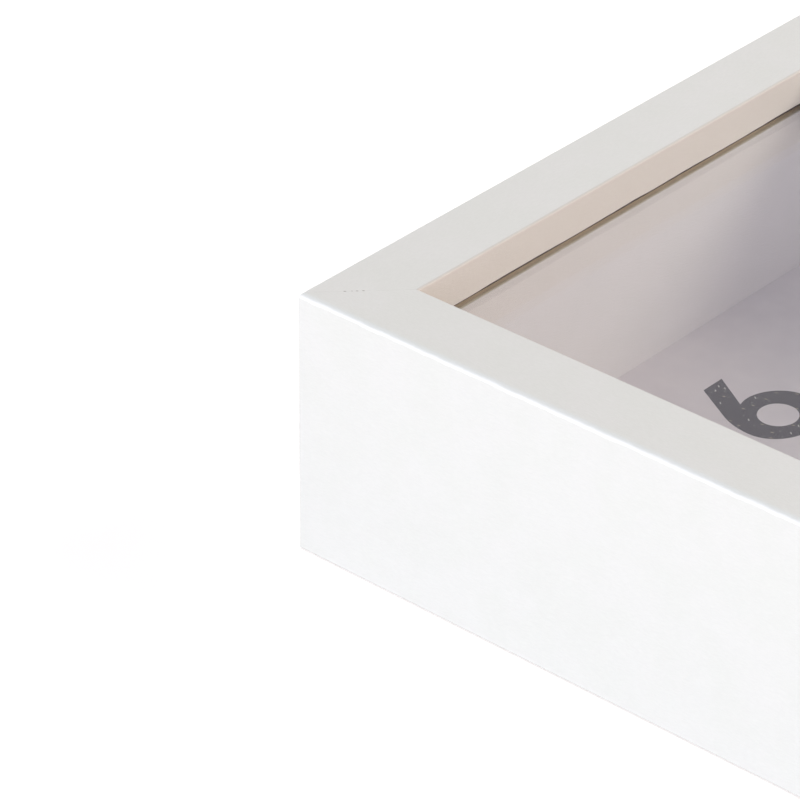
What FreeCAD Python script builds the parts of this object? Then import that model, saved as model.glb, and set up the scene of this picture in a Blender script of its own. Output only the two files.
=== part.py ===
# A deep box frame for one A6 sheet. Four mitred rails carry a lip at the front, and behind the lip lie the
# glass, four spacer strips that hold it off the sheet, the sheet itself and a backing board. Swivel clips
# riveted to the board reach into a groove in the rails, and two ring hangers are riveted to its back.
#
# Millimetres. The frame lies on its back: +X runs along its short side, +Y towards its top rail and +Z out
# of its front. The origin is the centre of the outline, in the plane of the rails' back edges.

import FreeCAD, Part
import math
import os

from FreeCAD import Vector

# The sheet that the frame is made for, and the glass over it
SHEET_WIDTH = 105.0
SHEET_HEIGHT = 148.0
GLASS_THICKNESS = 2.0

# Rail section: a wall that stands behind a lip, which overhangs the glass
FRAME_DEPTH = 44.0
WALL = 7.5
LIP_OVERHANG = 4.75
LIP_DEPTH = 6.6
REBATE_PLAY = 0.5
FACE_OUTER_RADIUS = 0.9
FACE_INNER_RADIUS = 0.4
LIP_UNDER_RADIUS = 0.5
BACK_OUTER_RADIUS = 0.3

# Groove in the rebate wall that takes the tips of the swivel clips
GROOVE_BOTTOM = 2.2
GROOVE_HEIGHT = 1.4
GROOVE_DEPTH = 2.5

# Gap left between the glass and what holds it, and between one strip or board and the next
SEAT_GAP = 0.05
JOINT_GAP = 0.05

# V-nails, stacked in each mitre and driven in from the back
NAIL_INSET = 2.0
NAIL_WING = 5.0
NAIL_GAUGE = 0.5
NAIL_HEIGHT = 7.0
NAILS_PER_CORNER = 2
NAIL_SINK = 0.3

# Spacer strips, insert sheet and backing board
SPACER_PLAY = 0.5
SPACER_END_PLAY = 0.25
INSERT_THICKNESS = 0.25
INSERT_PLAY = 0.25
BACKING_THICKNESS = 2.5
BACKING_PLAY = 0.3
BACKING_RECESS = 3.35
BACKING_CORNER_RADIUS = 1.0

# Swivel clips: spring steel, pivoting on a rivet near the edge of the board
CLIP_GAUGE = 0.8
CLIP_LONG_ARM = 11.0
CLIP_SHORT_ARM = 6.5
CLIP_WIDTH = 9.0
CLIP_TIP_WIDTH = 7.0
CLIP_ENGAGEMENT = 2.0
CLIP_SPACING = 84.0
CLIP_TAB_DROP = 1.5
CLIP_TAB_WIDTH = 5.0
CLIP_RIB_START = 3.6
CLIP_RIB_END = 8.2
CLIP_RIB_WIDTH = 1.8
CLIP_RIB_HEIGHT = 0.3

# Rivets: a domed head at the back, and a rolled end sunk in the front of the board
CLIP_RIVET_RADIUS = 1.5
CLIP_RIVET_HEAD_RADIUS = 2.4
CLIP_RIVET_HEAD_HEIGHT = 0.7
HANGER_RIVET_RADIUS = 1.2
HANGER_RIVET_HEAD_RADIUS = 1.9
HANGER_RIVET_HEAD_HEIGHT = 0.5
RIVET_ROLL_OVERHANG = 0.9
RIVET_ROLL_HEIGHT = 0.5
RIVET_CLEARANCE = 0.05

# Ring hangers: a strap rolled round the base bar of a triangular ring
STRAP_GAUGE = 0.5
STRAP_WIDTH = 8.0
STRAP_LENGTH = 11.0
STRAP_END_RADIUS = 2.0
STRAP_CURL_END = 170.0
STRAP_RIVETS = (-4.0, -8.5)
RING_WIRE_RADIUS = 0.7
RING_CLEARANCE = 0.05
RING_BASE = 16.0
RING_HEIGHT = 13.0
RING_BASE_BEND = 1.4
RING_APEX_BEND = 2.0
RING_BUTT_GAP = 0.2
PORTRAIT_HANGER_Y = 59.5
LANDSCAPE_HANGER_X = 38.0

# Sizes that follow
REBATE_WIDTH = SHEET_WIDTH + 2 * REBATE_PLAY
REBATE_HEIGHT = SHEET_HEIGHT + 2 * REBATE_PLAY
OUTER_WIDTH = REBATE_WIDTH + 2 * WALL
OUTER_HEIGHT = REBATE_HEIGHT + 2 * WALL
FACE_WIDTH = WALL + LIP_OVERHANG
SIGHT_WIDTH = OUTER_WIDTH - 2 * FACE_WIDTH
SIGHT_HEIGHT = OUTER_HEIGHT - 2 * FACE_WIDTH

# Levels that follow, from the front to the back
LIP_UNDERSIDE = FRAME_DEPTH - LIP_DEPTH
GLASS_TOP = LIP_UNDERSIDE - SEAT_GAP
GLASS_BOTTOM = GLASS_TOP - GLASS_THICKNESS
SPACER_TOP = GLASS_BOTTOM - SEAT_GAP
BACKING_TOP = BACKING_RECESS + BACKING_THICKNESS
INSERT_TOP = BACKING_TOP + INSERT_THICKNESS
CLIP_TOP = BACKING_RECESS - JOINT_GAP
CLIP_BOTTOM = CLIP_TOP - CLIP_GAUGE

CURL_BORE_RADIUS = RING_WIRE_RADIUS + RING_CLEARANCE
CURL_RADIUS = CURL_BORE_RADIUS + STRAP_GAUGE
HINGE_LEVEL = BACKING_RECESS - CURL_RADIUS

# Each side of the frame: its turn about Z from the top side, its length, and how far out it lies
SIDES = {
    "top": (0, OUTER_WIDTH, OUTER_HEIGHT / 2),
    "left": (90, OUTER_HEIGHT, OUTER_WIDTH / 2),
    "bottom": (180, OUTER_WIDTH, OUTER_HEIGHT / 2),
    "right": (270, OUTER_HEIGHT, OUTER_WIDTH / 2),
}

# Each corner: the signs of its X and Y
CORNERS = {
    "top_left": (-1, 1),
    "top_right": (1, 1),
    "bottom_left": (-1, -1),
    "bottom_right": (1, -1),
}

# Each hanger: where its hinge lies, and its turn about Z from one that points to the top rail
HANGERS = {
    "portrait": (Vector(0, PORTRAIT_HANGER_Y, HINGE_LEVEL), 0),
    "landscape": (Vector(LANDSCAPE_HANGER_X, 0, HINGE_LEVEL), -90),
}

Z_AXIS = Vector(0, 0, 1)


def bend(before, corner, after, radius):
    """The start, middle and end of the arc that rounds a corner between two straight runs."""
    back = (before - corner).normalize()
    ahead = (after - corner).normalize()
    half_angle = back.getAngle(ahead) / 2
    tangent = radius / math.tan(half_angle)
    bisector = (back + ahead).normalize()
    middle = corner + bisector * (radius / math.sin(half_angle) - radius)
    return corner + back * tangent, middle, corner + ahead * tangent


def rounded_face(corners):
    """A flat face from (point, radius) corners, where a radius of 0 leaves the corner sharp."""
    points = [point for point, _ in corners]
    edges = []
    ends = []
    for i, (point, radius) in enumerate(corners):
        if radius:
            start, middle, end = bend(points[i - 1], point, points[(i + 1) % len(points)], radius)
            edges.append(Part.Arc(start, middle, end).toShape())
            ends.append((start, end))
        else:
            ends.append((point, point))
    for i, (start, _) in enumerate(ends):
        edges.append(Part.LineSegment(ends[i - 1][1], start).toShape())
    return Part.Face(Part.Wire(Part.__sortEdges__(edges)))


def prism(points, bottom, top):
    """A straight prism over a flat outline of (x, y) points."""
    outline = Part.makePolygon([Vector(x, y, bottom) for x, y in [*points, points[0]]])
    return Part.Face(outline).extrude(Z_AXIS * (top - bottom))


def plate(width, height, bottom, thickness):
    """A flat sheet, centred on the origin in plan."""
    return Part.makeBox(width, height, thickness, Vector(-width / 2, -height / 2, bottom))


def turned(shape, degrees):
    """A copy of the shape, turned about the frame's vertical axis."""
    copy = shape.copy()
    copy.rotate(Vector(0, 0, 0), Z_AXIS, degrees)
    return copy


def nail_wings(sign_x, sign_y, bottom, top):
    """The angle that one V-nail fills: two wings along the two rails, meeting on the mitre."""
    x = sign_x * (OUTER_WIDTH / 2 - NAIL_INSET)
    y = sign_y * (OUTER_HEIGHT / 2 - NAIL_INSET)
    outline = [
        (0, 0),
        (NAIL_WING, 0),
        (NAIL_WING, NAIL_GAUGE),
        (NAIL_GAUGE, NAIL_GAUGE),
        (NAIL_GAUGE, NAIL_WING),
        (0, NAIL_WING),
    ]
    return prism([(x - sign_x * a, y - sign_y * b) for a, b in outline], bottom, top)


def corner_nails(sign_x, sign_y):
    """The stack of V-nails in one mitre."""
    bottoms = [NAIL_SINK + i * NAIL_HEIGHT for i in range(NAILS_PER_CORNER)]
    return Part.makeCompound([nail_wings(sign_x, sign_y, z, z + NAIL_HEIGHT) for z in bottoms])


def nail_slots():
    """What the nails open up in the rails, from the back edge to the top of each stack."""
    top = NAIL_SINK + NAILS_PER_CORNER * NAIL_HEIGHT
    return [nail_wings(sign_x, sign_y, 0, top) for sign_x, sign_y in CORNERS.values()]


def rail(side):
    """One rail: the wall, lip and groove as one section, cut at both ends to a mitre."""
    turn, length, outer = SIDES[side]
    groove_top = GROOVE_BOTTOM + GROOVE_HEIGHT
    section = [
        (0, 0, BACK_OUTER_RADIUS),
        (0, FRAME_DEPTH, FACE_OUTER_RADIUS),
        (FACE_WIDTH, FRAME_DEPTH, FACE_INNER_RADIUS),
        (FACE_WIDTH, LIP_UNDERSIDE, LIP_UNDER_RADIUS),
        (WALL, LIP_UNDERSIDE, 0),
        (WALL, groove_top, 0),
        (WALL - GROOVE_DEPTH, groove_top, 0),
        (WALL - GROOVE_DEPTH, GROOVE_BOTTOM, 0),
        (WALL, GROOVE_BOTTOM, 0),
        (WALL, 0, 0),
    ]
    face = rounded_face([(Vector(-length / 2, outer - inward, z), r) for inward, z, r in section])
    moulding = face.extrude(Vector(length, 0, 0))
    mitres = prism(
        [
            (-length / 2, outer),
            (length / 2, outer),
            (length / 2 - FACE_WIDTH, outer - FACE_WIDTH),
            (-length / 2 + FACE_WIDTH, outer - FACE_WIDTH),
        ],
        0,
        FRAME_DEPTH,
    )
    return turned(moulding.common(mitres), turn).cut(nail_slots())


def glazing():
    """The sheet of glass behind the lip."""
    return plate(SHEET_WIDTH, SHEET_HEIGHT, GLASS_BOTTOM, GLASS_THICKNESS)


def spacer(side):
    """One spacer strip, flush with the lip. The long strips run through, and the short ones fit between."""
    turn, length, outer = SIDES[side]
    runs_through = side in ("left", "right")
    if runs_through:
        strip_length = length - 2 * WALL - 2 * SPACER_END_PLAY
    else:
        strip_length = SIGHT_WIDTH - 2 * JOINT_GAP
    thickness = LIP_OVERHANG - SPACER_PLAY
    corner = Vector(-strip_length / 2, outer - FACE_WIDTH, INSERT_TOP)
    strip = Part.makeBox(strip_length, thickness, SPACER_TOP - INSERT_TOP, corner)
    return turned(strip, turn)


def insert_sheet():
    """The printed sheet between the spacers and the backing board."""
    width = SHEET_WIDTH - 2 * INSERT_PLAY
    height = SHEET_HEIGHT - 2 * INSERT_PLAY
    return plate(width, height, BACKING_TOP, INSERT_THICKNESS)


def clip_pivots():
    """The (x, y) of each clip's pivot and the sign of the side that it reaches for."""
    x = OUTER_WIDTH / 2 - WALL + CLIP_ENGAGEMENT - CLIP_LONG_ARM
    places = {}
    for corner, (sign_x, sign_y) in CORNERS.items():
        places[corner] = (sign_x * x, sign_y * CLIP_SPACING / 2)
    return places


def hanger_rivet_places():
    """The (x, y) of every hanger rivet."""
    places = []
    for hinge, turn in HANGERS.values():
        angle = math.radians(turn)
        for y in STRAP_RIVETS:
            places.append((hinge.x - y * math.sin(angle), hinge.y + y * math.cos(angle)))
    return places


def rivet_hole(x, y, radius):
    """A rivet's clearance through the backing board, wider at the front for its rolled end."""
    through = Part.makeCylinder(radius + RIVET_CLEARANCE, BACKING_THICKNESS, Vector(x, y, BACKING_RECESS))
    sink_depth = RIVET_ROLL_HEIGHT + RIVET_CLEARANCE
    sink_radius = radius + RIVET_ROLL_OVERHANG + RIVET_CLEARANCE
    sink = Part.makeCylinder(sink_radius, sink_depth, Vector(x, y, BACKING_TOP - sink_depth))
    return through.fuse(sink)


def backing_board():
    """The hardboard back, drilled for the rivets."""
    x = SHEET_WIDTH / 2 + REBATE_PLAY - BACKING_PLAY
    y = SHEET_HEIGHT / 2 + REBATE_PLAY - BACKING_PLAY
    corners = [Vector(sx * x, sy * y, BACKING_RECESS) for sx, sy in ((-1, -1), (1, -1), (1, 1), (-1, 1))]
    outline = rounded_face([(corner, BACKING_CORNER_RADIUS) for corner in corners])
    board = outline.extrude(Z_AXIS * BACKING_THICKNESS)
    holes = [rivet_hole(x, y, CLIP_RIVET_RADIUS) for x, y in clip_pivots().values()]
    holes += [rivet_hole(x, y, HANGER_RIVET_RADIUS) for x, y in hanger_rivet_places()]
    return board.cut(holes)


def rivet(x, y, head_top, radius, head_radius, head_height):
    """A semi-tubular rivet whose domed head lies below head_top and whose other end is rolled over."""
    roll_radius = radius + RIVET_ROLL_OVERHANG
    roll_bottom = BACKING_TOP - RIVET_ROLL_HEIGHT
    tube_radius = 0.6 * radius
    tube_bottom = BACKING_TOP - 2 * RIVET_ROLL_HEIGHT
    rim = Vector(head_radius, 0, head_top - 0.3 * head_height)
    crown = Vector(0, 0, head_top - head_height)
    between = Vector(0.6 * head_radius, 0, head_top - 0.8 * head_height)
    flat_points = [
        rim,
        Vector(head_radius, 0, head_top),
        Vector(radius, 0, head_top),
        Vector(radius, 0, roll_bottom),
        Vector(roll_radius, 0, roll_bottom),
        Vector(roll_radius, 0, BACKING_TOP),
        Vector(tube_radius, 0, BACKING_TOP),
        Vector(tube_radius, 0, tube_bottom),
        Vector(0, 0, tube_bottom),
        crown,
    ]
    dome = Part.Arc(crown, between, rim).toShape()
    outline = Part.Wire([dome, *Part.makePolygon(flat_points).Edges])
    solid = Part.Face(outline).revolve(Vector(0, 0, 0), Z_AXIS, 360)
    solid.translate(Vector(x, y, 0))
    return solid


def clip_rivets():
    """The four rivets that the clips turn on."""
    head_top = CLIP_BOTTOM - RIVET_CLEARANCE
    size = (CLIP_RIVET_RADIUS, CLIP_RIVET_HEAD_RADIUS, CLIP_RIVET_HEAD_HEIGHT)
    return Part.makeCompound([rivet(x, y, head_top, *size) for x, y in clip_pivots().values()])


def hanger_rivets():
    """The rivets that hold the two straps."""
    head_top = BACKING_RECESS - STRAP_GAUGE
    size = (HANGER_RIVET_RADIUS, HANGER_RIVET_HEAD_RADIUS, HANGER_RIVET_HEAD_HEIGHT)
    return Part.makeCompound([rivet(x, y, head_top, *size) for x, y in hanger_rivet_places()])


def clip_rib(bottom, height):
    """The stiffening rib pressed in a clip's long arm, as a slot-shaped block."""
    half = CLIP_RIB_WIDTH / 2
    corners = [
        (CLIP_RIB_START, -half),
        (CLIP_RIB_END, -half),
        (CLIP_RIB_END, half),
        (CLIP_RIB_START, half),
    ]
    outline = rounded_face([(Vector(x, y, bottom), 0.95 * half) for x, y in corners])
    return outline.extrude(Z_AXIS * height)


def swivel_clip(corner):
    """One clip with its long arm in the groove: a pressed strip with a rib, and a tab to turn it by."""
    half = CLIP_WIDTH / 2
    tip = CLIP_TIP_WIDTH / 2
    outline = [
        (-CLIP_SHORT_ARM, -half, 3.0),
        (1.0, -half, 6.0),
        (CLIP_LONG_ARM, -tip, 3.0),
        (CLIP_LONG_ARM, tip, 3.0),
        (1.0, half, 6.0),
        (-CLIP_SHORT_ARM, half, 3.0),
    ]
    face = rounded_face([(Vector(x, y, CLIP_BOTTOM), radius) for x, y, radius in outline])
    strip = face.extrude(Z_AXIS * CLIP_GAUGE)
    tab_corner = Vector(-CLIP_SHORT_ARM, -CLIP_TAB_WIDTH / 2, CLIP_BOTTOM - CLIP_TAB_DROP)
    tab = Part.makeBox(CLIP_GAUGE, CLIP_TAB_WIDTH, CLIP_TAB_DROP + CLIP_GAUGE, tab_corner)
    rib = clip_rib(CLIP_BOTTOM - CLIP_RIB_HEIGHT, CLIP_RIB_HEIGHT)
    dent = clip_rib(CLIP_TOP - CLIP_RIB_HEIGHT, CLIP_RIB_HEIGHT)
    hole = Part.makeCylinder(CLIP_RIVET_RADIUS + RIVET_CLEARANCE, CLIP_GAUGE, Vector(0, 0, CLIP_BOTTOM))
    clip = strip.fuse([tab, rib]).cut([dent, hole]).removeSplitter()
    x, y = clip_pivots()[corner]
    if x < 0:
        clip = turned(clip, 180)
    clip.translate(Vector(x, y, 0))
    return clip


def placed_on_back(shape, hanger):
    """Moves a hanger piece from the hinge's own frame to its place on the backing board."""
    hinge, turn = HANGERS[hanger]
    piece = turned(shape, turn)
    piece.translate(hinge)
    return piece


def hanger_strap(hanger):
    """A riveted plate whose end is rolled round the ring's base bar, which lies along X at the origin."""

    def on_curl(radius, degrees):
        angle = math.radians(degrees)
        return Vector(0, radius * math.cos(angle), radius * math.sin(angle))

    end = STRAP_CURL_END - 360
    halfway = (90 + end) / 2
    outer_curl = Part.Arc(*[on_curl(CURL_RADIUS, angle) for angle in (90, halfway, end)])
    inner_curl = Part.Arc(*[on_curl(CURL_BORE_RADIUS, angle) for angle in (end, halfway, 90)])
    plate_end_top = Vector(0, -STRAP_LENGTH, CURL_RADIUS)
    plate_end_bottom = Vector(0, -STRAP_LENGTH, CURL_BORE_RADIUS)
    edges = [
        outer_curl.toShape(),
        Part.LineSegment(on_curl(CURL_RADIUS, end), on_curl(CURL_BORE_RADIUS, end)).toShape(),
        inner_curl.toShape(),
        Part.LineSegment(on_curl(CURL_BORE_RADIUS, 90), plate_end_bottom).toShape(),
        Part.LineSegment(plate_end_bottom, plate_end_top).toShape(),
        Part.LineSegment(plate_end_top, on_curl(CURL_RADIUS, 90)).toShape(),
    ]
    strip = Part.Face(Part.Wire(edges)).extrude(Vector(STRAP_WIDTH, 0, 0))
    strip.translate(Vector(-STRAP_WIDTH / 2, 0, 0))
    half = STRAP_WIDTH / 2
    outline = [
        (Vector(-half, -STRAP_LENGTH, -CURL_RADIUS), STRAP_END_RADIUS),
        (Vector(half, -STRAP_LENGTH, -CURL_RADIUS), STRAP_END_RADIUS),
        (Vector(half, CURL_RADIUS, -CURL_RADIUS), 0),
        (Vector(-half, CURL_RADIUS, -CURL_RADIUS), 0),
    ]
    trim = rounded_face(outline).extrude(Z_AXIS * 2 * CURL_RADIUS)
    radius = HANGER_RIVET_RADIUS + RIVET_CLEARANCE
    places = [Vector(0, y, CURL_BORE_RADIUS) for y in STRAP_RIVETS]
    holes = [Part.makeCylinder(radius, STRAP_GAUGE, place) for place in places]
    return placed_on_back(strip.common(trim).cut(holes), hanger)


def hanger_ring(hanger):
    """A triangle bent from round wire, its ends butted in the middle of the base bar."""
    right = Vector(RING_BASE / 2, 0, 0)
    apex = Vector(0, RING_HEIGHT, 0)
    left = Vector(-RING_BASE / 2, 0, 0)
    start = Vector(RING_BUTT_GAP / 2, 0, 0)
    finish = Vector(-RING_BUTT_GAP / 2, 0, 0)
    bends = [
        bend(start, right, apex, RING_BASE_BEND),
        bend(right, apex, left, RING_APEX_BEND),
        bend(apex, left, finish, RING_BASE_BEND),
    ]
    edges = []
    here = start
    for first, middle, last in bends:
        edges.append(Part.LineSegment(here, first).toShape())
        edges.append(Part.Arc(first, middle, last).toShape())
        here = last
    edges.append(Part.LineSegment(here, finish).toShape())
    section = Part.Wire(Part.Circle(start, Vector(1, 0, 0), RING_WIRE_RADIUS).toShape())
    ring = Part.Wire(edges).makePipeShell([section], True, False)
    return placed_on_back(ring, hanger)


def sub_parts():
    """Every piece of the frame, by the name of its node."""
    parts = {f"rail_{side}": rail(side) for side in SIDES}
    for corner, signs in CORNERS.items():
        parts[f"corner_nails_{corner}"] = corner_nails(*signs)
    parts["glazing"] = glazing()
    for side in SIDES:
        parts[f"spacer_{side}"] = spacer(side)
    parts["insert_sheet"] = insert_sheet()
    parts["backing_board"] = backing_board()
    for corner in CORNERS:
        parts[f"swivel_clip_{corner}"] = swivel_clip(corner)
    parts["clip_rivets"] = clip_rivets()
    for hanger in HANGERS:
        parts[f"hanger_strap_{hanger}"] = hanger_strap(hanger)
        parts[f"hanger_ring_{hanger}"] = hanger_ring(hanger)
    parts["hanger_rivets"] = hanger_rivets()
    return parts


def main():
    os.makedirs("parts", exist_ok=True)
    for name, shape in sub_parts().items():
        shape.exportStep(f"parts/{name}.step")


main()
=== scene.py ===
import math

import bpy
from mathutils import Euler, Matrix, Vector


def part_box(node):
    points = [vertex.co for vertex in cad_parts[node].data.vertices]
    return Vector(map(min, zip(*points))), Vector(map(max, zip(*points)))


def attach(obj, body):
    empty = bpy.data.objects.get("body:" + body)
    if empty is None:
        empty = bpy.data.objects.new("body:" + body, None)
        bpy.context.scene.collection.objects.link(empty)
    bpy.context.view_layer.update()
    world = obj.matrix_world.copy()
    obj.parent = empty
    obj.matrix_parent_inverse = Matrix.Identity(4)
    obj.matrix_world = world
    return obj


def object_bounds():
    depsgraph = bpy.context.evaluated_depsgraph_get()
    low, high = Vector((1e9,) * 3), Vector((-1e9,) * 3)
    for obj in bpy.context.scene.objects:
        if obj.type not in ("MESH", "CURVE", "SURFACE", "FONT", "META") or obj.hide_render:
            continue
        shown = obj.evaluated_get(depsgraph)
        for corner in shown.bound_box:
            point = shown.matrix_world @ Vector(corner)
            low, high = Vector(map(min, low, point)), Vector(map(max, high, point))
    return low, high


# The looks of the box frame: materials, the printed sheet, light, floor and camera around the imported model.
# Metres, in the row frame: +X along the short side, +Y towards the top rail, +Z out of the front.

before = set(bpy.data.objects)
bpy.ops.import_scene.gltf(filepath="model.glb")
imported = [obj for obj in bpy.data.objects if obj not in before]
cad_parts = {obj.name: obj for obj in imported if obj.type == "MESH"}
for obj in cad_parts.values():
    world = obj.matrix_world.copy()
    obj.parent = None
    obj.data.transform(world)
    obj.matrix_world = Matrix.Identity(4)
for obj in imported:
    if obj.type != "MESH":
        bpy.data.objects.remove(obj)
cad_low, cad_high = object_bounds()

MM = 0.001

# The frame's own measures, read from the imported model
HALF_WIDTH = cad_high.x
HALF_HEIGHT = cad_high.y
FRONT = cad_high.z
SIGHT_X = -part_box("spacer_left")[1].x
SIGHT_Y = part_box("spacer_top")[0].y
FACE = HALF_WIDTH - SIGHT_X
GLASS_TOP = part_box("glazing")[1].z
PAPER_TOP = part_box("insert_sheet")[1].z
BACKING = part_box("backing_board")
WALL = HALF_WIDTH - BACKING[1].x

# The camera: where it looks from, and the point beside the top left corner that it looks at
CAMERA_AZIMUTH = math.radians(-49.1)
CAMERA_ELEVATION = math.radians(31.79)
CAMERA_ROLL = math.radians(0.48)
CAMERA_DISTANCE = 583.9 * MM
CAMERA_LENS = 191.05
AIM = Vector((-HALF_WIDTH - 12.3 * MM, HALF_HEIGHT - 30.1 * MM, FRONT))


class Nodes:
    """A node tree, with a short call for each kind of node used here. Values may be numbers or sockets."""

    def __init__(self, owner):
        owner.use_nodes = True
        self.owner = owner
        self.tree = owner.node_tree
        self.tree.nodes.clear()

    def add(self, kind, inputs=None, **settings):
        node = self.tree.nodes.new(kind)
        for name, value in settings.items():
            setattr(node, name, value)
        for name, value in (inputs or {}).items():
            self.put(value, node.inputs[name])
        return node

    def put(self, value, socket):
        if isinstance(value, bpy.types.NodeSocket):
            self.tree.links.new(value, socket)
        elif socket.type == "RGBA" and len(value) == 3:
            socket.default_value = (*value, 1)
        else:
            socket.default_value = value

    def place(self):
        """The point on the piece, in the row frame at rest."""
        return self.add("ShaderNodeTexCoord").outputs["Object"]

    def facing(self):
        """The surface's direction."""
        return self.add("ShaderNodeNewGeometry").outputs["Normal"]

    def split(self, vector):
        return self.add("ShaderNodeSeparateXYZ", {0: vector}).outputs

    def scaled(self, vector, factors):
        return self.add("ShaderNodeVectorMath", {0: vector, 1: factors}, operation="MULTIPLY").outputs[0]

    def math(self, operation, *values):
        inputs = dict(enumerate(values))
        return self.add("ShaderNodeMath", inputs, operation=operation).outputs[0]

    def noise(self, vector, scale, detail=2.0, roughness=0.5):
        inputs = {"Vector": vector, "Scale": scale, "Detail": detail, "Roughness": roughness}
        return self.add("ShaderNodeTexNoise", inputs).outputs["Fac"]

    def specks(self, vector, radius, share):
        """One on small specks, which lie in this share of the unit cells of vector, and zero around them."""
        cell = self.add("ShaderNodeTexVoronoi", {"Vector": vector, "Scale": 1.0}, voronoi_dimensions="2D")
        drawn = self.math("LESS_THAN", self.split(cell.outputs["Color"])[0], share)
        near = self.fade(cell.outputs["Distance"], 0.5 * radius, radius, 1.0, 0.0)
        return self.math("MULTIPLY", drawn, near)

    def fade(self, value, start, end, low=0.0, high=1.0):
        """low before start, high after end, and smooth between."""
        inputs = {"Value": value, "From Min": start, "From Max": end, "To Min": low, "To Max": high}
        node = self.add("ShaderNodeMapRange", inputs, interpolation_type="SMOOTHSTEP")
        return node.outputs["Result"]

    def mix(self, share, first, second):
        """The first colour where share is zero, the second where it is one."""
        node = self.add("ShaderNodeMix", data_type="RGBA")
        for value, index in ((share, 0), (first, 6), (second, 7)):
            self.put(value, node.inputs[index])
        return node.outputs[2]

    def bump(self, height, depth, strength=1.0, under=None):
        """The surface's direction, tilted by a relief of this depth, over another relief if one is given."""
        inputs = {"Height": height, "Distance": depth, "Strength": strength}
        if under is not None:
            inputs["Normal"] = under
        return self.add("ShaderNodeBump", inputs).outputs["Normal"]

    def principled(self, **inputs):
        named = {name.replace("_", " "): value for name, value in inputs.items()}
        return self.add("ShaderNodeBsdfPrincipled", named).outputs["BSDF"]

    def surface(self, shader):
        in_world = isinstance(self.owner, bpy.types.World)
        kind = "ShaderNodeOutputWorld" if in_world else "ShaderNodeOutputMaterial"
        self.tree.links.new(shader, self.add(kind).inputs["Surface"])
        return self.owner


def material(name):
    return Nodes(bpy.data.materials.new(name))


# ---------------------------------------------------------------- materials

# Each foil: its usual tone, and the tone of its blotches
RAIL_FOIL = ((0.757, 0.752, 0.735), (0.747, 0.746, 0.723))
SPACER_FOIL = ((0.79, 0.757, 0.774), (0.78, 0.75, 0.763))
PRESSED_FOIL = (0.62, 0.62, 0.60)
# Painted highlight laid on the outer arris of the face
ARRIS_PAINTED_HIGHLIGHT = (0.90, 0.895, 0.89)
# Painted warm light: a warm tone laid on the lip's inner face, where warm light falls
LIP_PAINTED_WARM_LIGHT = (0.79, 0.742, 0.69)
# Painted shade along the inner arris of the face
ARRIS_PAINTED_SHADE = (0.55, 0.54, 0.53)
# The foil's cut edge and painted shadow of the gap between the lip and the glass
CUT_EDGE_AND_GAP_SHADOW = (0.055, 0.036, 0.036)
# Painted shadow along the bottom of the outer side, where the frame meets the floor
FLOOR_CONTACT_SHADOW = (0.36, 0.36, 0.37)
MITRE_GAP = (0.17, 0.135, 0.115)

RAIL_BOARD = (0.34, 0.23, 0.14)
SPACER_BOARD = (0.58, 0.46, 0.355)
# Painted light: a paler board for the deep part of the spacers' cut edge, which lies in shade
BOARD_PAINTED_LIGHT = (0.76, 0.61, 0.485)
# A paler tone for the bare board next to the foil
PALE_BOARD_EDGE = (0.78, 0.71, 0.60)

FOIL_IOR = 1.46
GLASS_IOR = 1.52

# The foil's pressed grain, in strokes per metre: across a rail, and along it
GRAIN_ACROSS = 5200.0
GRAIN_ALONG = 1100.0

# How far in from the outer side the foil is turned over onto the back edge, at least and at most
FOIL_TURN = (1.6 * MM, 2.2 * MM)


def along_y(side):
    return side in ("left", "right")


def grain(side):
    """How the foil's grain is stretched on the rail or strip at this side."""
    if along_y(side):
        return (GRAIN_ACROSS, GRAIN_ALONG, GRAIN_ACROSS)
    return (GRAIN_ALONG, GRAIN_ACROSS, GRAIN_ACROSS)


def from_middle(n, side):
    """How far the point lies from the frame's middle, measured towards this side or the opposite one."""
    x, y = n.split(n.place())[:2]
    return n.math("ABSOLUTE", x if along_y(side) else y)


def foil(n, stretch, tones):
    """The white wrap: (colour, roughness, height) with a fine pressed grain that runs along the rail."""
    place = n.place()
    along = n.scaled(place, stretch)
    strokes = n.noise(along, 1.0, 3.0, 0.6)
    strokes = n.fade(strokes, 0.38, 0.62)
    blotches = n.noise(place, 130.0, 2.0, 0.5)
    colour = n.mix(n.fade(blotches, 0.35, 0.65), *tones)
    colour = n.mix(n.math("MULTIPLY", strokes, 0.09), colour, PRESSED_FOIL)
    roughness = n.fade(strokes, 0.0, 1.0, 0.42, 0.56)
    return colour, roughness, strokes


def fibreboard(n, tone):
    """Raw sawn fibreboard: (colour, roughness, height) with short matted fibres."""
    place = n.place()
    fibres = n.noise(n.scaled(place, (900.0, 900.0, 2600.0)), 1.0, 4.0, 0.65)
    flecks = n.noise(place, 5200.0, 2.0, 0.6)
    dark = tuple(0.62 * c for c in tone)
    pale = tuple(1.3 * c for c in tone)
    colour = n.mix(n.fade(fibres, 0.35, 0.7), dark, tone)
    colour = n.mix(n.fade(flecks, 0.58, 0.75, 0.0, 0.5), colour, pale)
    return colour, 0.9, n.math("ADD", fibres, n.math("MULTIPLY", flecks, 0.5))


def foil_on_board(name, stretch, tones, tone, raw):
    """Foil over fibreboard of this tone, where raw says from 0 to 1 how bare the board is."""
    n = material(name)
    foil_colour, foil_rough, foil_height = foil(n, stretch, tones)
    board_colour, board_rough, board_height = fibreboard(n, tone)
    bare = raw(n)
    covered = n.math("SUBTRACT", 1.0, bare)
    pressed = n.bump(foil_height, 0.012 * MM, covered)
    sawn = n.bump(board_height, 0.08 * MM, bare, pressed)
    colour = n.mix(bare, foil_colour, board_colour)
    roughness = n.math("ADD", n.math("MULTIPLY", foil_rough, covered), n.math("MULTIPLY", bare, board_rough))
    return n, colour, roughness, sawn


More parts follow.
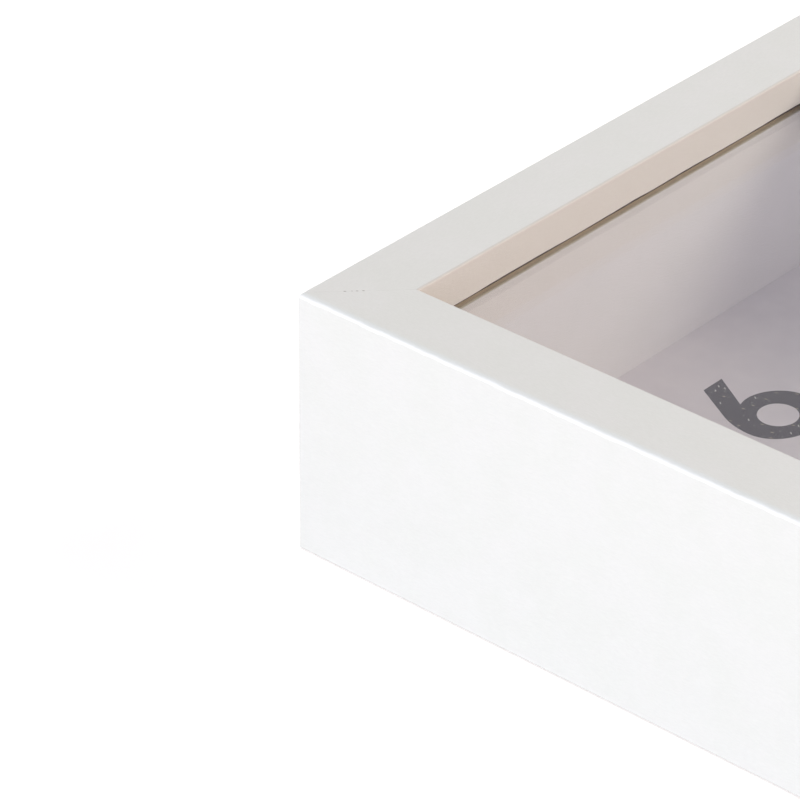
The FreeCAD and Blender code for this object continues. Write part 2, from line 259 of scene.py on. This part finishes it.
def rail_material(side):
    """A rail's finish: foil outside, and bare board in the rebate and on the back edge."""
    outer = HALF_WIDTH if along_y(side) else HALF_HEIGHT

    def section(n):
        """The point in the rail's section: how far in from the outer side, and how far up."""
        return n.math("SUBTRACT", outer, from_middle(n, side)), n.split(n.place())[2]

    def raw(n):
        inward, z = section(n)
        behind_lip = n.math("LESS_THAN", z, GLASS_TOP + 0.02 * MM)
        in_rebate = n.math("MULTIPLY", behind_lip, n.math("GREATER_THAN", inward, 2.5 * MM))
        under_lip = n.math("LESS_THAN", z, GLASS_TOP + 0.06 * MM)
        under_lip = n.math("MULTIPLY", under_lip, n.math("GREATER_THAN", inward, WALL))
        wander = n.fade(n.noise(n.place(), 300.0), 0.3, 0.7, *FOIL_TURN)
        at_back = n.math("LESS_THAN", z, 0.05 * MM)
        at_back = n.math("MULTIPLY", at_back, n.math("GREATER_THAN", inward, wander))
        return n.math("MAXIMUM", n.math("MAXIMUM", in_rebate, under_lip), at_back)

    n, colour, roughness, normal = foil_on_board(f"rail_{side}_foil", grain(side), RAIL_FOIL, RAIL_BOARD, raw)
    inward, z = section(n)
    # painted warm light on the lip's inner face
    lip_warm_light = n.fade(inward, FACE - 0.35 * MM, FACE - 0.05 * MM)
    colour = n.mix(n.math("MULTIPLY", lip_warm_light, 0.6), colour, LIP_PAINTED_WARM_LIGHT)
    # painted highlight along the outer arris
    colour = n.mix(painted_arris_highlight(n, inward, z), colour, ARRIS_PAINTED_HIGHLIGHT)
    # painted shade along the inner arris
    colour = n.mix(painted_arris_shade(n, inward, z), colour, ARRIS_PAINTED_SHADE)
    # the foil's cut edge and painted shadow of the gap under the lip
    colour = n.mix(cut_edge_and_gap_shadow(n, inward, z), colour, CUT_EDGE_AND_GAP_SHADOW)
    # painted shadow where the frame meets the floor
    colour = n.mix(floor_contact_shadow(n, inward, z), colour, FLOOR_CONTACT_SHADOW)
    colour = n.mix(mitre_line(n), colour, MITRE_GAP)
    return n.surface(n.principled(Base_Color=colour, Roughness=roughness, Normal=normal, IOR=FOIL_IOR))


def painted_arris_highlight(n, inward, z):
    """A painted highlight: a pale line along the outer arris of the face, where the rounding turns between
    side and top, a little wavy.
    """
    up = n.split(n.facing())[2]
    wave = n.fade(n.noise(n.place(), 260.0, 3.0, 0.6), 0.25, 0.75, -0.09, 0.09)
    level = n.math("ADD", up, wave)
    line = n.math("MULTIPLY", n.fade(level, 0.02, 0.12), n.fade(level, 0.42, 0.78, 1.0, 0.0))
    at_rim = n.math("LESS_THAN", inward, 0.95 * MM)
    at_rim = n.math("MULTIPLY", at_rim, n.math("GREATER_THAN", z, FRONT - 1.0 * MM))
    return n.math("MULTIPLY", line, at_rim)


def painted_arris_shade(n, inward, z):
    """Slight painted shade along the inner arris of the face, where the foil folds down over the lip."""
    side = n.fade(inward, FACE - 0.42 * MM, FACE - 0.2 * MM)
    top = n.fade(z, FRONT - 0.3 * MM, FRONT - 0.1 * MM)
    return n.math("MULTIPLY", n.math("MULTIPLY", side, top), 0.55)


def cut_edge_and_gap_shadow(n, inward, z):
    """A dark line along the bottom of the lip, uneven in width: the foil's cut edge, and painted shadow of the
    gap between lip and glass.
    """
    reach = n.fade(n.noise(n.place(), 90.0, 3.0, 0.6), 0.3, 0.7, 0.40 * MM, 0.58 * MM)
    height = n.math("SUBTRACT", z, GLASS_TOP + 0.05 * MM)
    near = n.fade(n.math("SUBTRACT", height, reach), -0.04 * MM, 0.04 * MM, 1.0, 0.0)
    return n.math("MULTIPLY", near, n.math("GREATER_THAN", inward, FACE - 0.6 * MM))


def floor_contact_shadow(n, inward, z):
    """A painted shadow: the grey line along the bottom of the outer side, where the frame stands on the floor.
    """
    low = n.fade(z, 0.12 * MM, 0.26 * MM, 0.75, 0.0)
    return n.math("MULTIPLY", low, n.math("LESS_THAN", inward, 0.3 * MM))


# Chips in the foil along a mitre, as shares of the face: how far in from the outer corner, and half the length
MITRE_CHIPS = ((0.385, 0.011), (0.445, 0.004), (0.487, 0.008), (0.54, 0.009))


def mitre_line(n):
    """How strongly the joint between two rails shows: a faint hairline, with specks where foil is chipped."""
    x, y = n.split(n.place())[:2]
    from_side = n.math("SUBTRACT", HALF_WIDTH, n.math("ABSOLUTE", x))
    from_end = n.math("SUBTRACT", HALF_HEIGHT, n.math("ABSOLUTE", y))
    distance = n.math("ABSOLUTE", n.math("SUBTRACT", from_side, from_end))
    # the chips start at another place on each corner
    shift = n.math("MULTIPLY", n.math("GREATER_THAN", x, 0.0), 0.13)
    shift = n.math("ADD", shift, n.math("MULTIPLY", n.math("LESS_THAN", y, 0.0), 0.09))
    along = n.math("SUBTRACT", n.math("DIVIDE", from_side, FACE), shift)
    chips = 0.0
    for place, half in MITRE_CHIPS:
        offset = n.math("ABSOLUTE", n.math("SUBTRACT", along, place))
        chips = n.math("MAXIMUM", chips, n.fade(offset, 0.7 * half, 1.3 * half, 1.0, 0.0))
    chips = n.math("MULTIPLY", chips, n.fade(distance, 0.05 * MM, 0.16 * MM, 0.85, 0.0))
    hairline = n.fade(distance, 0.02 * MM, 0.07 * MM, 1.0, 0.0)
    strength = n.fade(n.noise(n.place(), 700.0), 0.35, 0.65, 0.02, 0.2)
    strength = n.math("MULTIPLY", strength, n.fade(from_side, 0.3 * MM, 0.9 * MM, 0.15, 1.0))
    return n.math("MAXIMUM", chips, n.math("MULTIPLY", hairline, strength))


def spacer_material(side):
    """A spacer strip's finish: foil on its inner face, bare board on its cut edges and back."""
    inner = SIGHT_X if along_y(side) else SIGHT_Y

    def depth_behind_foil(n):
        return n.math("SUBTRACT", from_middle(n, side), inner)

    def raw(n):
        return n.math("GREATER_THAN", depth_behind_foil(n), 0.12 * MM)

    name = f"spacer_{side}_foil"
    n, colour, roughness, normal = foil_on_board(name, grain(side), SPACER_FOIL, SPACER_BOARD, raw)
    bare = raw(n)
    depth = depth_behind_foil(n)
    # painted light: the bare board turns paler further behind the foil, where the strip lies in shade
    painted_light_deep = n.math("MULTIPLY", bare, n.fade(depth, 0.3 * MM, 1.0 * MM))
    colour = n.mix(painted_light_deep, colour, BOARD_PAINTED_LIGHT)
    # the board turns paler towards the foil
    cut = n.math("MULTIPLY", bare, n.fade(depth, 0.16 * MM, 0.75 * MM, 0.85, 0.0))
    colour = n.mix(cut, colour, PALE_BOARD_EDGE)
    return n.surface(n.principled(Base_Color=colour, Roughness=roughness, Normal=normal, IOR=FOIL_IOR))


def glass_material():
    """Float glass. Light on its way to what lies behind goes straight through, so that the sheet is lit."""
    n = material("float_glass")
    tint = (0.975, 0.99, 0.985)
    clear = n.principled(Base_Color=tint, Roughness=0.0, IOR=GLASS_IOR, Transmission_Weight=1.0)
    path = n.add("ShaderNodeLightPath").outputs
    lights = n.math("MAXIMUM", path["Is Shadow Ray"], path["Is Diffuse Ray"])
    through = n.add("ShaderNodeBsdfTransparent", {"Color": (0.955, 0.965, 0.96)}).outputs[0]
    mixed = n.add("ShaderNodeMixShader", {0: lights, 1: clear, 2: through})
    return n.surface(mixed.outputs[0])


def paper_material():
    """The sheet: uncoated paper with a pale lilac-grey tint."""
    n = material("printed_paper")
    place = n.place()
    cloud = n.noise(place, 260.0, 3.0, 0.6)
    fibres = n.noise(place, 3200.0, 4.0, 0.7)
    colour = n.mix(n.fade(cloud, 0.3, 0.7), (0.615, 0.558, 0.60), (0.645, 0.588, 0.625))
    colour = n.mix(n.fade(fibres, 0.55, 0.75, 0.0, 0.25), colour, (0.70, 0.66, 0.66))
    normal = n.bump(fibres, 0.015 * MM)
    return n.surface(n.principled(Base_Color=colour, Roughness=0.82, Normal=normal))


# Lint on the print: the specks' radius as a share of a cell. Then, layer by layer, the cells' turn in radians,
# their width and length, the share of them with a speck, and its tone.
LINT_RADIUS = 0.16
INK_LINT = (
    (0.7, 0.8 * MM, 2.8 * MM, 0.16, (0.50, 0.48, 0.46)),
    (1.9, 0.8 * MM, 1.8 * MM, 0.25, (0.17, 0.15, 0.16)),
    (2.8, 0.8 * MM, 2.4 * MM, 0.16, (0.36, 0.30, 0.22)),
)


def ink_material():
    """Dark grey print, a little uneven where the paper's fibres stand through, with pale specks of lint."""
    n = material("grey_ink")
    place = n.place()
    fibres = n.noise(place, 3200.0, 4.0, 0.7)
    cover = n.noise(place, 900.0, 3.0, 0.6)
    colour = n.mix(n.fade(cover, 0.3, 0.7), (0.013, 0.010, 0.018), (0.021, 0.016, 0.028))
    colour = n.mix(n.fade(fibres, 0.66, 0.8, 0.0, 0.25), colour, (0.12, 0.10, 0.12))
    for turn, across, along, share, tone in INK_LINT:
        rotate = n.add("ShaderNodeVectorRotate", {"Vector": place, "Angle": turn}, rotation_type="Z_AXIS")
        cells = n.scaled(rotate.outputs[0], (1.0 / across, 1.0 / along, 1.0))
        lint = n.specks(cells, LINT_RADIUS, share)
        colour = n.mix(lint, colour, tone)
    normal = n.bump(fibres, 0.01 * MM)
    return n.surface(n.principled(Base_Color=colour, Roughness=0.6, Normal=normal, Specular_IOR_Level=0.2))


# The pitch of the wire screen that leaves its weave on the back of hardboard
SCREEN_PITCH = 1.1 * MM


def hardboard_material():
    """Hardboard: smooth brown front, and a pressed wire-screen pattern at the back."""
    n = material("hardboard")
    place = n.place()
    x, y, z = n.split(place)
    fibres = n.noise(n.scaled(place, (1400.0, 1400.0, 1400.0)), 1.0, 5.0, 0.7)
    turns = 2 * math.pi / SCREEN_PITCH
    wave_x, wave_y = (n.math("SINE", n.math("MULTIPLY", way, turns)) for way in (x, y))
    weave = n.math("MULTIPLY", wave_x, wave_y)
    at_back = n.math("LESS_THAN", z, BACKING[0].z + 0.05 * MM)
    screen = n.math("MULTIPLY", at_back, n.math("MULTIPLY", weave, 0.5))
    colour = n.mix(n.fade(fibres, 0.3, 0.72), (0.16, 0.085, 0.04), (0.34, 0.205, 0.11))
    colour = n.mix(n.fade(screen, 0.0, 0.5, 0.0, 0.35), colour, (0.42, 0.27, 0.15))
    normal = n.bump(n.math("ADD", screen, n.math("MULTIPLY", fibres, 0.5)), 0.12 * MM)
    return n.surface(n.principled(Base_Color=colour, Roughness=0.72, Normal=normal))


def plated_steel(name, colour, roughness, brush):
    """Plated sheet steel or wire, with fine scratches stretched along brush."""
    n = material(name)
    place = n.place()
    scratches = n.noise(n.scaled(place, brush), 1.0, 3.0, 0.6)
    stains = n.noise(place, 420.0, 3.0, 0.6)
    shaded = tuple(0.72 * c for c in colour)
    tone = n.mix(n.fade(stains, 0.3, 0.7), colour, shaded)
    rough = n.fade(scratches, 0.3, 0.7, roughness - 0.08, roughness + 0.12)
    normal = n.bump(scratches, 0.012 * MM)
    return n.surface(n.principled(Base_Color=tone, Metallic=1.0, Roughness=rough, Normal=normal))


def dress(node, finish):
    """Gives every slot of a CAD node this material."""
    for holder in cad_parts[node].material_slots:
        holder.material = finish


def dress_all():
    """Gives every CAD node its material."""
    for side in ("top", "left", "bottom", "right"):
        dress(f"rail_{side}", rail_material(side))
        dress(f"spacer_{side}", spacer_material(side))
    dress("glazing", glass_material())
    dress("insert_sheet", paper_material())
    dress("backing_board", hardboard_material())
    spring = plated_steel("nickel_spring_steel", (0.62, 0.60, 0.57), 0.3, (300.0, 6000.0, 6000.0))
    zinc = plated_steel("zinc_plated_steel", (0.60, 0.62, 0.64), 0.36, (2500.0, 2500.0, 2500.0))
    rivets = plated_steel("rivet_steel", (0.66, 0.66, 0.64), 0.28, (1800.0, 1800.0, 1800.0))
    drawn = plated_steel("nail_steel", (0.40, 0.41, 0.43), 0.4, (4000.0, 4000.0, 500.0))
    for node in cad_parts:
        if node.startswith("swivel_clip"):
            dress(node, spring)
        elif node.startswith(("hanger_strap", "hanger_ring")):
            dress(node, zinc)
        elif node.endswith("rivets"):
            dress(node, rivets)
        elif node.startswith("corner_nails"):
            dress(node, drawn)


# ---------------------------------------------------------------- the printed numeral

# The numeral's own measures, from the centre of its place on the sheet
NUMERAL_CENTRE = Vector((67.78 * MM - HALF_WIDTH, HALF_HEIGHT - 37.55 * MM))
BOWL_CENTRE = Vector((0.1, 0.3)) * MM
BOWL_SIZE = Vector((7.4, 6.45)) * MM
COUNTER_CENTRE = Vector((0.11, 0.2)) * MM
COUNTER_SIZE = Vector((3.38, 3.2)) * MM
STEM_LEFT_END = Vector((-1.86, 13.11)) * MM
STEM_RIGHT_END = Vector((2.72, 13.11)) * MM
STEM_BEND = Vector((-5.7, 6.3)) * MM
BEND_CORNER = Vector((-7.3, 3.49)) * MM
INK_THICKNESS = 0.02 * MM

# The bowl's outline sinks a little between two angles in degrees, where it meets the stem's right edge
NOTCH_START = 75.0
NOTCH_END = 101.5
NOTCH_SINK = 0.3 * MM

# Points along the stem's bend and along the notch
BEND_STEPS = 25
NOTCH_STEPS = 20


def oval(centre, size, start, end, count=120):
    """Points along an oval's outline between two angles in degrees, both included."""
    angles = [math.radians(start + (end - start) * i / count) for i in range(count + 1)]
    return [centre + Vector((size.x * math.cos(a), size.y * math.sin(a))) for a in angles]


def numeral_outline():
    """The outline of a six: an oval bowl, and a straight stem that bends into the bowl's left side."""
    bowl_left = BOWL_CENTRE - Vector((BOWL_SIZE.x, 0))
    bend = []
    for i in range(BEND_STEPS):
        t = i / BEND_STEPS
        bend.append((1 - t) ** 2 * STEM_BEND + 2 * t * (1 - t) * BEND_CORNER + t**2 * bowl_left)
    bowl = oval(BOWL_CENTRE, BOWL_SIZE, 180, 360 + NOTCH_START)
    for i in range(1, NOTCH_STEPS + 1):
        share = i / NOTCH_STEPS
        angle = NOTCH_START + share * (NOTCH_END - NOTCH_START)
        place = oval(BOWL_CENTRE, BOWL_SIZE, angle, angle, 1)[0]
        bowl.append(place - Vector((0, NOTCH_SINK * share**2)))
    return [STEM_LEFT_END, *bend, *bowl, STEM_RIGHT_END]


def extruded(name, outlines, bottom, top, centre):
    """A closed flat solid over outlines, the first outside and the rest holes, made from a filled curve."""
    curve = bpy.data.curves.new(name, "CURVE")
    curve.dimensions = "2D"
    curve.fill_mode = "BOTH"
    curve.extrude = (top - bottom) / 2
    for outline in outlines:
        spline = curve.splines.new("POLY")
        spline.points.add(len(outline) - 1)
        for point, place in zip(spline.points, outline):
            point.co = (place.x, place.y, 0, 1)
        spline.use_cyclic_u = True
    holder = bpy.data.objects.new(name, curve)
    bpy.context.scene.collection.objects.link(holder)
    bpy.context.view_layer.update()
    filled = holder.evaluated_get(bpy.context.evaluated_depsgraph_get())
    mesh = bpy.data.meshes.new_from_object(filled)
    bpy.data.objects.remove(holder)
    mesh.transform(Matrix.Translation((centre.x, centre.y, (top + bottom) / 2)))
    piece = bpy.data.objects.new(name, mesh)
    bpy.context.scene.collection.objects.link(piece)
    return piece


def printed_numeral():
    """The numeral as a thin layer of ink on the sheet."""
    counter = oval(COUNTER_CENTRE, COUNTER_SIZE, 0, 360)[:-1]
    outlines = [numeral_outline(), counter]
    piece = extruded("printed_numeral", outlines, PAPER_TOP, PAPER_TOP + INK_THICKNESS, NUMERAL_CENTRE)
    piece.data.materials.clear()
    piece.data.materials.append(ink_material())
    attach(piece, "frame")


# ---------------------------------------------------------------- floor, light and camera

FLOOR_HALF = 6.0
FLOOR_GAP = 0.02 * MM
# A faint warm glow, so that the frame's shade on the floor stays neutral
FLOOR_GLOW = {"Emission_Color": (1.0, 0.87, 0.80), "Emission_Strength": 0.34}


def floor():
    """A wide pale floor just under the frame."""
    corners = [(x * FLOOR_HALF, y * FLOOR_HALF, 0) for x, y in ((-1, -1), (1, -1), (1, 1), (-1, 1))]
    mesh = bpy.data.meshes.new("floor")
    mesh.from_pydata(corners, [], [(0, 1, 2, 3)])
    piece = bpy.data.objects.new("floor", mesh)
    bpy.context.scene.collection.objects.link(piece)
    piece.location.z = cad_low.z - FLOOR_GAP
    n = material("pale_floor")
    grain = n.noise(n.place(), 60.0, 3.0, 0.5)
    colour = n.mix(grain, (0.90, 0.90, 0.90), (0.92, 0.92, 0.92))
    mesh.materials.append(n.surface(n.principled(Base_Color=colour, Roughness=0.9, **FLOOR_GLOW)))


# The studio's light from each side, as linear colour: five soft lobes that together cover the sky
SKY_LOBES = {
    "left": (2.18, 2.29, 2.47),
    "right": (0.86, 0.73, 0.82),
    "foot": (0.46, 0.27, 0.25),
    "head": (1.19, 1.28, 1.31),
    "above": (0.28, 0.32, 0.32),
}
# In reflections the left side is a dimmer wall, so that the glass stays clear when it is seen from behind
LEFT_REFLECTED = (0.72, 0.74, 0.78)

# A warm lamp beyond the foot of the frame and to its right, which lights the lip and the inner walls
LAMP_PLACE = Vector((0.927, -0.927, 0.918))
LAMP_AIM = Vector((0, 0, 0.02))
LAMP_SIDE = 0.8
LAMP_POWER = 25.3
LAMP_COLOUR = (0.523, 0.488, 0.408)


def sky():
    """A white studio: plain white to the camera, and to everything else a mix of the lobes by direction."""
    world = bpy.data.worlds.new("studio")
    bpy.context.scene.world = world
    n = Nodes(world)
    x, y, z = n.split(n.add("ShaderNodeTexCoord").outputs["Generated"])
    path = n.add("ShaderNodeLightPath").outputs
    left = n.mix(path["Is Glossy Ray"], SKY_LOBES["left"], LEFT_REFLECTED)
    sideways = n.mix(n.math("GREATER_THAN", x, 0.0), left, SKY_LOBES["right"])
    lengthways = n.mix(n.math("GREATER_THAN", y, 0.0), SKY_LOBES["foot"], SKY_LOBES["head"])
    light = None
    for part, colour in ((x, sideways), (y, lengthways), (z, SKY_LOBES["above"])):
        share = n.math("MULTIPLY", part, part)
        lobe = n.scaled(colour, n.add("ShaderNodeCombineXYZ", {0: share, 1: share, 2: share}).outputs[0])
        light = lobe if light is None else n.add("ShaderNodeVectorMath", {0: light, 1: lobe}).outputs[0]
    colour = n.mix(path["Is Camera Ray"], light, (1.0, 1.0, 1.0))
    n.surface(n.add("ShaderNodeBackground", {"Color": colour, "Strength": 1.0}).outputs[0])


def softbox():
    lamp = bpy.data.lights.new("warm_softbox", "AREA")
    lamp.shape = "RECTANGLE"
    lamp.size = lamp.size_y = LAMP_SIDE
    lamp.energy = LAMP_POWER
    lamp.color = LAMP_COLOUR
    holder = bpy.data.objects.new("warm_softbox", lamp)
    bpy.context.scene.collection.objects.link(holder)
    holder.location = LAMP_PLACE
    holder.rotation_euler = (LAMP_AIM - LAMP_PLACE).to_track_quat("-Z", "Y").to_euler()
    holder.visible_camera = False


def camera():
    """The camera at the photograph's angle."""
    back = Vector((
        math.sin(CAMERA_AZIMUTH) * math.cos(CAMERA_ELEVATION),
        -math.cos(CAMERA_AZIMUTH) * math.cos(CAMERA_ELEVATION),
        math.sin(CAMERA_ELEVATION),
    ))
    data = bpy.data.cameras.new("camera")
    data.lens = CAMERA_LENS
    data.clip_start = 0.01
    data.clip_end = 50.0
    holder = bpy.data.objects.new("camera", data)
    bpy.context.scene.collection.objects.link(holder)
    holder.location = AIM + back * CAMERA_DISTANCE
    level = (-back).to_track_quat("-Z", "Y")
    holder.rotation_mode = "QUATERNION"
    holder.rotation_quaternion = level @ Euler((0, 0, CAMERA_ROLL)).to_quaternion()
    bpy.context.scene.camera = holder


camera()
dress_all()
printed_numeral()
floor()
sky()
softbox()
bpy.context.scene.view_settings.view_transform = "Standard"
